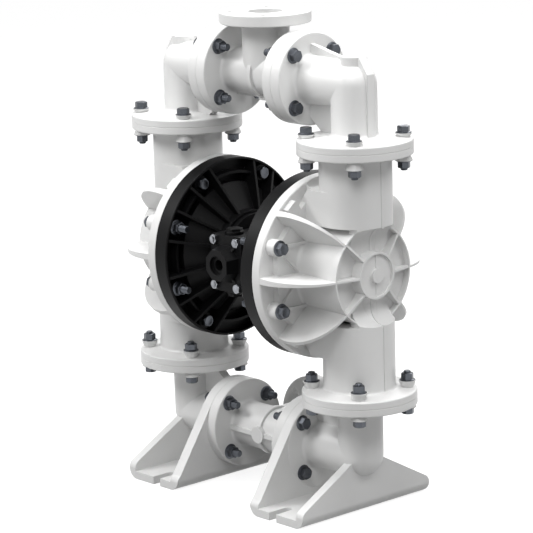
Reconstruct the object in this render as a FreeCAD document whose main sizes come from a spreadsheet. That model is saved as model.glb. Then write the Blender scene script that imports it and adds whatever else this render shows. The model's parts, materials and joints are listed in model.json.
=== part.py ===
import FreeCAD, Part
import math
import os
import re
import Sketcher

# Air operated double diaphragm pump.
# X runs along the diaphragm rod, -Y is the front with the air inlet, +Y is the suction side, Z is up.
# The origin lies on the floor, midway between the two liquid columns.

doc = FreeCAD.newDocument("diaphragm_pump")
sheet = doc.addObject("Spreadsheet::Sheet", "Sizes")

# Driving sizes, in millimetres and degrees
SIZES = {
    "low_manifold_z": 126.5,
    "column_x": 271,
    "seam_rise": 272,
    "manifold_rise": 402,
    "manifold_seam_x": 120,
    # Manifolds and elbows
    "pipe_r": 50,
    "pipe_bore_r": 38,
    "side_flange_r": 100,
    "side_flange_thick": 27,
    "seam_break": 0.8,
    "flange_edge_r": 3,
    "root_fillet_r": 7,
    "side_circle_r": 79.4,
    "column_flange_r": 124.3,
    "column_flange_thick": 16.5,
    "column_flange_crown": 6,
    "column_circle_r": 102.5,
    "elbow_seat_thick": 26.5,
    "cap_seat_thick": 33,
    "spot_face_margin": 1.7,
    "pad_wall": 3,
    "column_tube_r": 78,
    "column_bore_r": 64,
    "port_flange_r": 100,
    "port_flange_thick": 24,
    "port_face_rise": 134.5,
    "port_circle_r": 76.2,
    "port_hole_r": 9.5,
    "bolt_hole_r": 9,
    "web_thick": 22,
    "web_inset": 40,
    "web_drop": 22,
    "top_pad_r": 27,
    "top_pad_rise": 60,
    "tee_rib_thick": 11,
    "tee_boss_r": 19,
    "tee_boss_reach": 58,
    # Feet
    "foot_half_length": 191,
    "foot_width": 168,
    "foot_floor_thick": 18,
    "foot_inner_wall": 26,
    "foot_outer_wall": 21,
    "foot_corner_r": 25,
    "foot_lip": 20,
    "foot_outer_rise": 139,
    "foot_slope": 33.4,
    "slot_x": 193,
    "slot_width": 22,
    "slot_depth": 53,
    # Fluid caps
    "disc_r": 201.2,
    "joint_x": 158.6,
    "fluid_rim_thick": 25,
    "step_rise": 15.4,
    "step_inset": 2,
    "dome_r": 108.5,
    "dome_fillet_r": 8,
    "dome_wall": 11,
    "wheel_x": 320,
    "wheel_flare": 1.5,
    "wheel_rim_thick": 3.5,
    "wheel_depth": 15,
    "wheel_gap_half": 53,
    "hub_x": 332,
    "hub_r": 51,
    "hub_recess": 5,
    "hub_boss_r": 16,
    "spoke_thick": 5,
    "fin_thick": 14,
    "fin_tip_thick": 4.5,
    "fin_proud": 1.8,
    "fin_arc_r": 112,
    "fin_angle": 43,
    "column_end_inset": 4,
    "shoulder_rise": 152,
    "throat_r": 44,
    "block_rise": 181,
    "block_chamfer": 31,
    "block_fillet_r": 16,
    "crest_r": 34,
    "crest_rise": 6,
    "rim_circle_inset": 23.2,
    "rim_low_angle": 22.5,
    "rim_high_angle": 60,
    "rim_boss_r": 18,
    "rim_boss_length": 24,
    "rim_pad_angle": 52,
    "rim_pad_size": 29,
    "screw_thread_gap": 4,
    "parting_thick": 5,
    "parting_rise": 1.6,
    "strut_thick": 7,
    "strut_angle": 23,
    "strut_drop": 3,
    # Air caps
    "air_rim_depth": 37.3,
    "air_lip_thick": 5,
    "air_plate_thick": 12.6,
    "air_cone_inset": 32,
    "air_cone_x": 127,
    "air_hub_r": 90,
    "air_hub_x": 62,
    "air_hub_bore_r": 22,
    "air_cone_inner_x": 84,
    "air_wall": 9,
    "air_rib_thick": 6,
    "air_rib_outer_x": 123,
    "air_arc_rib_inset": 10,
    "air_arc_rib_x": 120,
    "air_nut_seat_x": 126,
    # Diaphragms and rod
    "diaphragm_thick": 6,
    "diaphragm_inset": 20,
    "clamp_width": 21,
    "arch_width": 24,
    "arch_gap": 4,
    "arch_r": 14,
    "plate_r": 80,
    "plate_thick": 14,
    "rod_r": 15,
    "rod_neck_r": 10,
    "rod_bore_clearance": 0.05,
    "bush_wall": 4,
    "bush_length": 30,
    "rod_nut_r": 18,
    "rod_nut_thick": 14,
    # Check valves
    "seat_thick": 20,
    "seat_bore_r": 36,
    "ball_r": 44,
    "ball_gap": 0.3,
    "cage_wall": 8,
    "cage_rib_thick": 10,
    "cage_rib_gap": 1,
    "cage_bar_thick": 9,
    "cage_fit": 0.3,
    # Centre section
    "centre_barrel_r": 58,
    "centre_flange_thick": 12,
    "centre_front_y": 84,
    "centre_block_x": 44,
    "centre_block_z": 56,
    "centre_rear_z": 40,
    "valve_half_x": 49,
    "valve_half_z": 63,
    "valve_chamfer": 8,
    "valve_face_y": 132,
    "valve_screw_x": 36,
    "valve_screw_z": 50,
    "spool_r": 14,
    "spool_y": 106,
    "spool_half_length": 48,
    "spool_land_length": 16,
    "spool_fit": 0.05,
    "valve_cap_r": 21,
    "valve_cap_thick": 12,
    "valve_rib_thick": 5,
    "valve_rib_rise": 10,
    "inlet_boss_r": 44,
    "inlet_tip_r": 36,
    "inlet_tip_y": 162,
    "inlet_mouth_r": 21,
    "inlet_mouth_depth": 8,
    "inlet_thread_r": 12.1,
    "inlet_thread_length": 22,
    "air_way_r": 7,
    "pilot_rise": 38,
    "pilot_r": 6,
    "pilot_half_length": 94.5,
    "pilot_collar_r": 9,
    "pilot_collar_thick": 6,
    "pilot_travel": 6,
    "stop_gap": 0.3,
    "exhaust_thread_r": 15.1,
    "exhaust_thread_length": 20,
    "muffler_r": 31,
    "muffler_collar": 14,
    "muffler_pitch": 8.5,
    # Fasteners
    "bolt_r": 8,
    "head_flats": 24,
    "head_thick": 12,
    "washer_r": 17.3,
    "washer_thick": 3,
    "nut_thick": 13,
    "column_tip": 5,
    "manifold_tip": 16,
    "rim_tip": 20,
    "screw_r": 5,
    "screw_depth": 20,
    "screw_head_flats": 19,
    "screw_head_thick": 8,
    "thread_fit": 0.1,
    # Seals
    "seal_r": 2.5,
    "seal_groove_r": 46,
    "seal_fit": 0.1,
}

# Heights and places that follow from the driving sizes
DERIVED = {
    "axis_height": "low_manifold_z + manifold_rise",
    "upper_seam_z": "axis_height + seam_rise",
    "top_manifold_z": "axis_height + manifold_rise",
    "rim_circle_r": "disc_r - rim_circle_inset",
    "diaphragm_r": "rim_circle_r - diaphragm_inset",
    "clamp_r": "diaphragm_r - clamp_width",
    "arch_inner_r": "plate_r + arch_gap",
    "arch_outer_r": "arch_inner_r + arch_width",
    "air_cone_r": "rim_circle_r - air_cone_inset",
    "air_arc_rib_r": "rim_circle_r - air_arc_rib_inset",
    "fin_reach_r": "disc_r + fin_proud",
    "spot_face_r": "washer_r + spot_face_margin",
    "cap_face_x": "joint_x + fluid_rim_thick",
    "step_x": "cap_face_x + step_rise",
    "wheel_r": "dome_r + wheel_flare",
    "column_end_rise": "wheel_r - column_end_inset",
    "wheel_floor_x": "wheel_x - wheel_depth",
    "ramp_r": "column_x + column_tube_r - wheel_floor_x",
    "crest_ramp_r": "ramp_r - crest_rise",
    "air_plate_x": "joint_x - air_plate_thick",
    "air_lip_x": "joint_x - air_rim_depth",
    "cage_r": "column_bore_r - cage_fit",
    "cage_height": "seam_rise - shoulder_rise - seat_thick",
    "ball_seat_rise": "sqrt((ball_r + ball_gap)^2 - seat_bore_r^2)",
    "plate_face_x": "joint_x + diaphragm_thick / 2",
    "plate_back_x": "joint_x - diaphragm_thick / 2",
    "foot_outer_x": "manifold_seam_x + foot_width",
    "arch_mid_r": "(arch_outer_r + arch_inner_r) / 2",
    "arch_drop": "sqrt(arch_r^2 - ((arch_outer_r - arch_inner_r) / 2)^2)",
    "arch_inside": "sqrt((arch_r - diaphragm_thick)^2 - (arch_drop - diaphragm_thick)^2)",
    "discharge_seat_z": "axis_height + shoulder_rise",
    "suction_seat_z": "axis_height - seam_rise",
}

ALONG_Z = FreeCAD.Rotation()
ALONG_X = FreeCAD.Rotation(FreeCAD.Vector(0, 1, 0), 90)
ALONG_Y = FreeCAD.Rotation(FreeCAD.Vector(1, 0, 0), -90)
TO_FRONT = FreeCAD.Rotation(FreeCAD.Vector(1, 0, 0), 90)
DOWN = FreeCAD.Rotation(FreeCAD.Vector(1, 0, 0), 180)
TO_LEFT = FreeCAD.Rotation(FreeCAD.Vector(0, 1, 0), -90)
EIGHTH = FreeCAD.Rotation(FreeCAD.Vector(0, 0, 1), 22.5)
ORIGIN = ("0", "0", "0")
QUARTERS = (45, 135, 225, 315)
AIR_RIB_ANGLES = (12.5, 33, 51, 70.5)
SPOKE_PLACES = (1, 2, 3, 5, 6, 7)
MUFFLER_RINGS = 10

nodes = {}


def bound(formula):
    """The formula with each size's name pointing at its cell."""
    def cell(match):
        word = match.group()
        return "Sizes." + word if word in SIZES or word in DERIVED else word
    return re.sub(r"[a-z_]+", cell, formula)


def number(formula):
    """The formula's value now, for a sketch's first shape and for counted copies."""
    result = sheet.evalExpression(bound(formula))
    return float(getattr(result, "Value", result))


def fill_sheet():
    rows = [(name, str(size)) for name, size in SIZES.items()]
    rows += [(name, "=" + formula) for name, formula in DERIVED.items()]
    for index, (name, content) in enumerate(rows, start=1):
        sheet.set(f"A{index}", name)
        sheet.setAlias(f"B{index}", name)
        sheet.set(f"B{index}", content)
    doc.recompute()


def bind(item, formulas):
    for name, formula in formulas.items():
        item.setExpression(name, bound(formula))
    return item


def place(item, at=ORIGIN, turn=ALONG_Z):
    item.Placement = FreeCAD.Placement(FreeCAD.Vector(), turn)
    for letter, formula in zip("xyz", at):
        item.setExpression("Placement.Base." + letter, bound(formula))
    return item


def rod(name, radius, length, at=ORIGIN, turn=ALONG_Z):
    item = doc.addObject("Part::Cylinder", name)
    bind(item, {"Radius": radius, "Height": length})
    return place(item, at, turn)


def cone(name, low_r, high_r, length, at=ORIGIN, turn=ALONG_Z):
    item = doc.addObject("Part::Cone", name)
    bind(item, {"Radius1": low_r, "Radius2": high_r, "Height": length})
    return place(item, at, turn)


def ball(name, radius, at=ORIGIN):
    item = doc.addObject("Part::Sphere", name)
    bind(item, {"Radius": radius})
    return place(item, at)


def block(name, length, width, height, at=ORIGIN, turn=ALONG_Z):
    item = doc.addObject("Part::Box", name)
    bind(item, {"Length": length, "Width": width, "Height": height})
    return place(item, at, turn)


def hexagon(name, flats, height, at=ORIGIN, turn=ALONG_Z):
    item = doc.addObject("Part::Prism", name)
    item.Polygon = 6
    bind(item, {"Circumradius": f"({flats}) / sqrt(3)", "Height": height})
    return place(item, at, turn)


def joined(name, pieces):
    item = doc.addObject("Part::MultiFuse", name)
    item.Shapes = pieces
    item.Refine = True
    return item


def cut(name, base, tools):
    item = doc.addObject("Part::Cut", name)
    item.Base = base
    item.Tool = tools[0] if len(tools) == 1 else joined(name + "_tools", tools)
    item.Refine = True
    return item


def overlap(name, first, second):
    item = doc.addObject("Part::Common", name)
    item.Base = first
    item.Tool = second
    item.Refine = True
    return item


def mirror(name, source, normal, at=ORIGIN):
    item = doc.addObject("Part::Mirroring", name)
    item.Source = source
    item.Normal = FreeCAD.Vector(*normal)
    bind(item, {"Base." + letter: formula for letter, formula in zip("xyz", at)})
    return item


def group(name, pieces):
    item = doc.addObject("Part::Compound", name)
    item.Links = pieces
    return item


def with_mirrors(name, item, planes):
    """The piece and its copies across each plane in turn. A plane is its normal and a point on it."""
    for index, (normal, at) in enumerate(planes):
        copy = mirror(f"{name}_copy_{index}", item, normal, at)
        item = group(f"{name}_set_{index}", [item, copy])
    return item


def outline(body, name, role, corners):
    """A closed sketch, anticlockwise through the corners.

    A corner's third value is the radius of the arc that leads there. The arc bulges outward,
    or inward where the corner has a fourth value.
    """
    sketch = body.newObject("Sketcher::SketchObject", name)
    plane = [item for item in body.Origin.OriginFeatures if item.Role == role][0]
    sketch.AttachmentSupport = [(plane, "")]
    sketch.MapMode = "FlatFace"
    points = [FreeCAD.Vector(number(corner[0]), number(corner[1]), 0) for corner in corners]
    count = len(points)
    ends = []
    for index, start in enumerate(points):
        end = points[(index + 1) % count]
        corner = corners[(index + 1) % count]
        inward = len(corner) > 3
        ends.append((2, 1) if inward else (1, 2))
        if len(corner) > 2:
            radius = number(corner[2])
            half = (end - start).Length / 2
            outward = FreeCAD.Vector(end.y - start.y, start.x - end.x, 0).normalize()
            away = -1 if inward else 1
            centre = (start + end) / 2 - outward * away * math.sqrt(radius**2 - half**2)
            first = math.atan2(start.y - centre.y, start.x - centre.x)
            last = math.atan2(end.y - centre.y, end.x - centre.x)
            if inward:
                first, last = last, first
            circle = Part.Circle(centre, FreeCAD.Vector(0, 0, 1), radius)
            edge = sketch.addGeometry(Part.ArcOfCircle(circle, first, last), False)
            rule = sketch.addConstraint(Sketcher.Constraint("Radius", edge, radius))
            sketch.setExpression(f"Constraints[{rule}]", bound(corner[2]))
        else:
            sketch.addGeometry(Part.LineSegment(start, end), False)
    for index, point in enumerate(points):
        follower = (index + 1) % count
        sketch.addConstraint(Sketcher.Constraint(
            "Coincident", index, ends[index][1], follower, ends[follower][0]))
        for kind, formula, size in (
            ("DistanceX", corners[index][0], point.x),
            ("DistanceY", corners[index][1], point.y),
        ):
            rule = sketch.addConstraint(Sketcher.Constraint(
                kind, -1, 1, index, ends[index][0], size))
            sketch.setExpression(f"Constraints[{rule}]", bound(formula))
    return sketch


def turned(name, corners, at=ORIGIN, turn=ALONG_Z):
    """A body of revolution: corners are (radius, height) round the body's own Z axis."""
    body = doc.addObject("PartDesign::Body", name)
    sketch = outline(body, name + "_profile", "XZ_Plane", corners)
    feature = body.newObject("PartDesign::Revolution", name + "_turn")
    feature.Profile = sketch
    feature.ReferenceAxis = (sketch, ["V_Axis"])
    feature.Angle = 360
    return place(body, at, turn)


def plate(name, corners, thickness, at=ORIGIN, turn=ALONG_Z):
    """A flat piece, centred on the body's own XZ plane: corners are (x, z)."""
    body = doc.addObject("PartDesign::Body", name)
    sketch = outline(body, name + "_profile", "XZ_Plane", corners)
    feature = body.newObject("PartDesign::Pad", name + "_pad")
    feature.Profile = sketch
    feature.Midplane = True
    feature.setExpression("Length", bound(thickness))
    return place(body, at, turn)


def sector(name, inner_r, outer_r, length, at, first, last):
    """An arc-shaped wall about the X direction, between two angles measured from +Y towards +Z."""
    turn = ALONG_X.multiply(FreeCAD.Rotation(FreeCAD.Vector(0, 0, 1), first + 90))
    outer = rod(name + "_outer", outer_r, length, at, turn)
    outer.Angle = last - first
    inner = rod(name + "_inner", inner_r, length, at, turn)
    return cut(name, outer, [inner])


def octagon(name, radius, at, turn):
    item = doc.addObject("Part::RegularPolygon", name)
    item.Polygon = 8
    bind(item, {"Circumradius": radius})
    return place(item, at, turn)


def loft(name, sections):
    item = doc.addObject("Part::Loft", name)
    item.Sections = sections
    item.Solid = True
    item.Ruled = True
    return item


def about_x(angle):
    return FreeCAD.Rotation(FreeCAD.Vector(1, 0, 0), angle)


def ring_of(name, radius, angles, make):
    """Pieces at the given angles of a circle: make(name, across, up) builds each one."""
    pieces = []
    for index, angle in enumerate(angles):
        across = f"{radius} * cos({angle})"
        up = f"{radius} * sin({angle})"
        pieces.append(make(f"{name}_{index}", across, up))
    return pieces


def keep(name, item):
    item.Label = name
    nodes[name] = item
    return item


# Pipework

def disc(name, radius, thick, at, turn):
    """A round flange on its seam: a small chamfer at the seam, a rounded edge on the far face."""
    return turned(name, [
        ("0", "0"),
        (f"{radius} - seam_break", "0"),
        (radius, "seam_break"),
        (radius, f"{thick} - flange_edge_r"),
        (f"{radius} - flange_edge_r", thick, "flange_edge_r"),
        ("0", thick),
    ], at, turn)


def root_fillet(name, radius, at, turn):
    """The hollow fillet where a tube leaves a flange face."""
    return turned(name, [
        (f"{radius} - 2", "-1"),
        (f"{radius} + root_fillet_r", "-1"),
        (f"{radius} + root_fillet_r", "0"),
        (radius, "root_fillet_r", "root_fillet_r", "inward"),
        (f"{radius} - 2", "root_fillet_r"),
    ], at, turn)


def seal_ring(name, section, at, turn):
    item = doc.addObject("Part::Torus", name)
    bind(item, {"Radius1": "seal_groove_r", "Radius2": section})
    return place(item, at, turn)


def tee():
    """A flanged tee: the run lies along X, the branch and its port flange point along Z."""
    near = ("-manifold_seam_x", "0", "0")
    far = ("manifold_seam_x", "0", "0")
    port = ("0", "0", "port_face_rise")
    solid = joined("tee_solid", [
        rod("tee_run", "pipe_r", "2 * manifold_seam_x", near, ALONG_X),
        disc("tee_near_flange", "side_flange_r", "side_flange_thick", near, ALONG_X),
        disc("tee_far_flange", "side_flange_r", "side_flange_thick", far, TO_LEFT),
        root_fillet("tee_near_root", "pipe_r", ("side_flange_thick - manifold_seam_x", "0", "0"), ALONG_X),
        root_fillet("tee_far_root", "pipe_r", ("manifold_seam_x - side_flange_thick", "0", "0"), TO_LEFT),
        cone("tee_neck", "pipe_r", "pipe_r + 3", "port_face_rise - 2"),
        disc("tee_port", "port_flange_r", "port_flange_thick", port, DOWN),
        root_fillet("tee_port_root", "pipe_r + 3", ("0", "0", "port_face_rise - port_flange_thick"), DOWN),
        rod("tee_boss", "tee_boss_r", "tee_boss_reach", ("0", "0", "-tee_boss_reach")),
        block("tee_rib", "2 * manifold_seam_x - 2", "tee_rib_thick", "tee_boss_reach - 3",
              ("1 - manifold_seam_x", "-tee_rib_thick / 2", "3 - tee_boss_reach")),
        rod("tee_band", "tee_boss_reach - 3", "tee_rib_thick", ("-tee_rib_thick / 2", "0", "0"), ALONG_X),
    ])
    tools = [
        rod("tee_run_bore", "pipe_bore_r", "2 * manifold_seam_x + 4", ("-2 - manifold_seam_x", "0", "0"), ALONG_X),
        rod("tee_neck_bore", "pipe_bore_r", "port_face_rise + 2"),
        seal_ring("tee_near_groove", "seal_r + seal_fit", near, ALONG_X),
        seal_ring("tee_far_groove", "seal_r + seal_fit", far, ALONG_X),
    ]
    tools += ring_of("tee_port_hole", "port_circle_r", QUARTERS, lambda label, across, up: rod(
        label, "port_hole_r", "port_flange_thick + 4",
        (across, up, "port_face_rise - port_flange_thick - 2")))
    tools += ring_of("tee_near_hole", "side_circle_r", QUARTERS, lambda label, across, up: rod(
        label, "bolt_hole_r", "side_flange_thick + 4", ("-2 - manifold_seam_x", across, up), ALONG_X))
    tools += ring_of("tee_far_hole", "side_circle_r", QUARTERS, lambda label, across, up: rod(
        label, "bolt_hole_r", "side_flange_thick + 4",
        ("manifold_seam_x - side_flange_thick - 2", across, up), ALONG_X))
    return solid, tools


def tees():
    solid, tools = tee()
    holes = joined("tee_holes", tools)
    upper = cut("upper_tee", solid, [holes])
    lower = cut("lower_tee", solid, [holes])
    keep("discharge_tee", place(upper, ("0", "0", "top_manifold_z")))
    keep("suction_tee", place(lower, ("0", "0", "low_manifold_z"), ALONG_Y))


def column_flange(name, seam_z, away, seat):
    """The round flange on a column seam. It rises from the seam, or hangs below it where away is -1.

    The bolt pads stand on it like upturned cones, up to the given seat height.
    """
    turn = ALONG_Z if away > 0 else DOWN
    pad_z = f"{seam_z} + ({away}) * (column_flange_thick - 1)"
    crowned = turned(name + "_disc", [
        ("0", "0"),
        ("column_flange_r - seam_break", "0"),
        ("column_flange_r", "seam_break"),
        ("column_flange_r", "column_flange_thick - flange_edge_r"),
        ("column_flange_r - flange_edge_r", "column_flange_thick", "flange_edge_r"),
        ("pipe_r + 12", "column_flange_thick + column_flange_crown"),
        ("0", "column_flange_thick + column_flange_crown"),
    ], ("column_x", "0", seam_z), turn)
    return [crowned] + ring_of(name + "_pad", "column_circle_r", QUARTERS, lambda label, across, up: cone(
        label, "bolt_hole_r + pad_wall", "spot_face_r", f"{seat} - column_flange_thick + 1",
        ("column_x + " + across, up, pad_z), turn))


def column_holes(name, seam_z, away, seat):
    turn = ALONG_Z if away > 0 else DOWN
    start = f"{seam_z} - 2 * {away}"
    return ring_of(name, "column_circle_r", QUARTERS, lambda label, across, up: rod(
        label, "bolt_hole_r", f"{seat} + 4", ("column_x + " + across, up, start), turn))


def elbow_core():
    """The part of an elbow that the upper and the lower one share, in its upper place."""
    seam = ("manifold_seam_x", "0", "top_manifold_z")
    foot = ("column_x", "0", "upper_seam_z")
    web = plate("elbow_web", [
        ("manifold_seam_x + side_flange_thick - 3", "web_drop - side_flange_r"),
        ("column_x - column_flange_r + web_inset", "column_flange_thick - (manifold_rise - seam_rise)"),
        ("column_x", "5 - (manifold_rise - seam_rise)"),
        ("column_x", "0"),
        ("manifold_seam_x + side_flange_thick - 3", "0"),
    ], "web_thick", ("0", "0", "top_manifold_z"))
    return joined("elbow_core", column_flange("elbow_flange", "upper_seam_z", 1, "elbow_seat_thick") + [
        disc("elbow_side_flange", "side_flange_r", "side_flange_thick", seam, ALONG_X),
        root_fillet("elbow_side_root", "pipe_r + 4",
                    ("manifold_seam_x + side_flange_thick", "0", "top_manifold_z"), ALONG_X),
        root_fillet("elbow_drop_root", "pipe_r",
                    ("column_x", "0", "upper_seam_z + column_flange_thick + column_flange_crown"), ALONG_Z),
        cone("elbow_side_tube", "pipe_r + 5", "pipe_r - 1", "column_x - manifold_seam_x", seam, ALONG_X),
        cone("elbow_drop_tube", "pipe_r", "pipe_r - 1", "manifold_rise - seam_rise", foot),
        ball("elbow_corner", "pipe_r - 1", ("column_x", "0", "top_manifold_z")),
        web,
    ])


def elbow_bores():
    tools = [
        rod("elbow_side_bore", "pipe_bore_r", "column_x - manifold_seam_x + 2",
            ("manifold_seam_x - 2", "0", "top_manifold_z"), ALONG_X),
        rod("elbow_drop_bore", "pipe_bore_r", "manifold_rise - seam_rise + 2",
            ("column_x", "0", "upper_seam_z - 2")),
        ball("elbow_corner_bore", "pipe_bore_r", ("column_x", "0", "top_manifold_z")),
        seal_ring("elbow_groove", "seal_r + seal_fit", ("manifold_seam_x", "0", "top_manifold_z"), ALONG_X),
    ]
    tools += ring_of("elbow_hole", "side_circle_r", QUARTERS, lambda label, across, up: rod(
        label, "bolt_hole_r", "side_flange_thick + 4",
        ("manifold_seam_x - 2", across, "top_manifold_z + " + up), ALONG_X))
    return joined("elbow_bores", tools + column_holes(
        "elbow_column_hole", "upper_seam_z", 1, "elbow_seat_thick"))


def discharge_elbow(core, bores):
    at_axis = ("0", "0", "top_manifold_z")
    ridge = plate("elbow_ridge", [
        ("manifold_seam_x + 4", "0"),
        ("column_x", "0"),
        ("column_x", "top_pad_rise - 3"),
        ("column_x - top_pad_r", "top_pad_rise - 6"),
        ("manifold_seam_x + side_flange_thick", "side_circle_r - 3"),
        ("manifold_seam_x + 4", "side_circle_r - 3"),
    ], "web_thick / 2", at_axis)
    corner = plate("elbow_corner_strip", [
        ("column_x", "0"),
        ("column_x + pipe_r + 2", "0"),
        ("column_x + pipe_r + 1", "pipe_r / 2"),
        ("column_x + top_pad_r", "top_pad_rise"),
        ("column_x", "top_pad_rise"),
    ], "web_thick", at_axis)
    pad = rod("elbow_pad", "top_pad_r", "top_pad_rise", ("column_x", "0", "top_manifold_z"))
    back = block("elbow_back", "pipe_r + 2", "web_thick", "manifold_rise - seam_rise",
                 ("column_x", "-web_thick / 2", "upper_seam_z"))
    solid = joined("elbow_solid", [core, ridge, corner, pad, back])
    return cut("elbow_blank", solid, [bores])


def foot_channel():
    """The U-shaped foot, open at both ends: two upright walls on a sole."""
    sideways = FreeCAD.Rotation(FreeCAD.Vector(0, 0, 1), 90)
    tangent_y = "side_flange_r * cos(foot_slope)"
    tangent_z = "low_manifold_z + side_flange_r * sin(foot_slope)"
    inner_wall = plate("foot_inner", [
        ("-foot_half_length", "0"),
        ("foot_half_length", "0"),
        ("foot_half_length", "foot_lip"),
        ("foot_half_length - 9", "foot_lip + 14", "foot_lip"),
        (tangent_y, tangent_z),
        ("-" + tangent_y, tangent_z),
        ("9 - foot_half_length", "foot_lip + 14"),
        ("-foot_half_length", "foot_lip", "foot_lip"),
    ], "foot_inner_wall", ("manifold_seam_x + foot_inner_wall / 2", "0", "0"), sideways)
    outer_wall = plate("foot_outer", [
        ("-foot_half_length", "0"),
        ("foot_half_length", "0"),
        ("foot_half_length", "foot_lip"),
        ("foot_half_length - 10", "foot_lip + 20", "foot_lip"),
        ("0", "foot_outer_rise"),
        ("10 - foot_half_length", "foot_lip + 20"),
        ("-foot_half_length", "foot_lip", "foot_lip"),
    ], "foot_outer_wall", ("foot_outer_x - foot_outer_wall / 2", "0", "0"), sideways)
    sole = block("foot_sole", "foot_width", "2 * foot_half_length", "foot_floor_thick",
                 ("manifold_seam_x", "-foot_half_length", "0"))
    envelope = plate("foot_envelope", [
        ("manifold_seam_x + foot_corner_r", "0", "foot_corner_r"),
        ("foot_outer_x - foot_corner_r", "0"),
        ("foot_outer_x", "foot_corner_r", "foot_corner_r"),
        ("foot_outer_x", "low_manifold_z + side_flange_r"),
        ("manifold_seam_x", "low_manifold_z + side_flange_r"),
        ("manifold_seam_x", "foot_corner_r"),
    ], "2 * foot_half_length")
    return overlap("foot_channel", joined("foot_walls", [inner_wall, outer_wall, sole]), envelope)


def foot_slots():
    """Bolt-down slots in the sole, open at its two ends."""
    closed_y = "foot_half_length - slot_depth + slot_width / 2"
    front = joined("foot_front_slot", [
        rod("foot_slot_end", "slot_width / 2", "foot_floor_thick + 4", ("slot_x", f"-({closed_y})", "-2")),
        block("foot_slot_run", "slot_width", "slot_depth", "foot_floor_thick + 4",
              ("slot_x - slot_width / 2", f"-({closed_y}) - slot_depth", "-2")),
    ])
    return [front, mirror("foot_rear_slot", front, (0, 1, 0))]


def foot_elbow(core, bores):
    """The lower elbow: the shared core upside down, standing in its foot."""
    middle = ("0", "0", "axis_height")
    solid = joined("foot_solid", [mirror("foot_core", core, (0, 0, 1), middle), foot_channel()])
    return cut("foot_blank", solid, [mirror("foot_bores", bores, (0, 0, 1), middle)] + foot_slots())


# Liquid side

def fin(name, angle):
    """A fin between the disc and the wheel, thinner towards the wheel."""
    on_axis = ("0", "0", "axis_height")
    side = plate(name + "_side", [
        ("joint_x + 5", "dome_r - 5"),
        ("wheel_floor_x", "dome_r - 5"),
        ("wheel_x", "wheel_r - 2"),
        ("cap_face_x + 14", "fin_reach_r", "fin_arc_r"),
        ("joint_x + 5", "disc_r - 4"),
    ], "fin_thick", on_axis, about_x(angle))
    wedge = plate(name + "_wedge", [
        ("joint_x", "-fin_thick / 2"),
        ("cap_face_x", "-fin_thick / 2"),
        ("wheel_x + 5", "-fin_tip_thick / 2"),
        ("wheel_x + 5", "fin_tip_thick / 2"),
        ("cap_face_x", "fin_thick / 2"),
        ("joint_x", "fin_thick / 2"),
    ], "2 * fin_reach_r + 10", on_axis, about_x(angle - 90))
    return overlap(name, side, wedge)


def column_foot():
    """The square shoulder between the disc and the column tube, with its upper corner cut off."""
    return plate("cap_foot", [
        ("joint_x", "column_end_rise"),
        ("column_x", "column_end_rise"),
        ("column_x", "block_rise"),
        ("cap_face_x + block_chamfer * 2 / 3", "block_rise"),
        ("cap_face_x - block_chamfer / 8", "block_rise - block_chamfer"),
        ("joint_x", "block_rise - block_chamfer"),
    ], "2 * column_tube_r", ("0", "0", "axis_height"))


def column_hollow():
    """The hollow between the disc's edge and the column tube, above the shoulder."""
    hollow = plate("cap_hollow_side", [
        ("joint_x + 5", "block_rise - block_chamfer"),
        ("column_x", "block_rise - block_chamfer"),
        ("column_x", "block_rise"),
        ("cap_face_x + block_fillet_r", "block_rise"),
        ("cap_face_x", "block_rise + block_fillet_r", "block_fillet_r", "inward"),
        ("joint_x + 5", "block_rise + block_fillet_r"),
    ], "1.6 * column_tube_r", ("0", "0", "axis_height"))
    return overlap("cap_hollow", hollow, rod("cap_hollow_edge", "disc_r - 1", "column_x - joint_x + 5",
                                             ("joint_x", "0", "axis_height"), ALONG_X))


def column_ramp():
    """The hollow that leads from the wheel's floor up to the tube, with the rounded crest of the passage on it."""
    on_axis = ("0", "0", "axis_height")
    side = plate("cap_ramp_side", [
        ("wheel_floor_x - 2", "column_end_rise - ramp_r"),
        ("wheel_floor_x", "column_end_rise - ramp_r"),
        ("wheel_floor_x + ramp_r", "column_end_rise", "ramp_r", "inward"),
        ("wheel_floor_x + ramp_r", "column_end_rise + 3"),
        ("wheel_floor_x - 2", "column_end_rise + 3"),
    ], "2 * wheel_gap_half", on_axis)
    crest = doc.addObject("Part::Torus", "cap_crest")
    bind(crest, {"Radius1": "crest_ramp_r + crest_r", "Radius2": "crest_r"})
    place(crest, ("column_x + column_tube_r", "0", "axis_height + column_end_rise - crest_ramp_r"), ALONG_Y)
    above = rod("cap_ramp_reach", "column_tube_r", "crest_ramp_r + 6",
                ("column_x", "0", "axis_height + column_end_rise - ramp_r"))
    line = plate("cap_crest_line", [
        ("wheel_floor_x - 2", "hub_r - 2"),
        ("wheel_floor_x + crest_rise + parting_rise", "hub_r - 2"),
        ("wheel_floor_x + crest_rise + parting_rise", "column_end_rise - crest_ramp_r"),
        ("column_x + column_tube_r", "column_end_rise - parting_rise", "crest_ramp_r - parting_rise", "inward"),
        ("column_x + column_tube_r + parting_rise", "column_end_rise - parting_rise"),
        ("column_x + column_tube_r + parting_rise", "column_end_rise + 3"),
        ("wheel_floor_x - 2", "column_end_rise + 3"),
    ], "parting_thick", on_axis)
    stem = rod("cap_crest_stem", "crest_r", "column_end_rise - crest_ramp_r + 0.5",
               ("wheel_floor_x + crest_rise - crest_r", "0", "axis_height"))
    return joined("cap_ramp", [overlap("cap_ramp_body", joined("cap_ramp_form", [side, crest]), above), stem, line])


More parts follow.
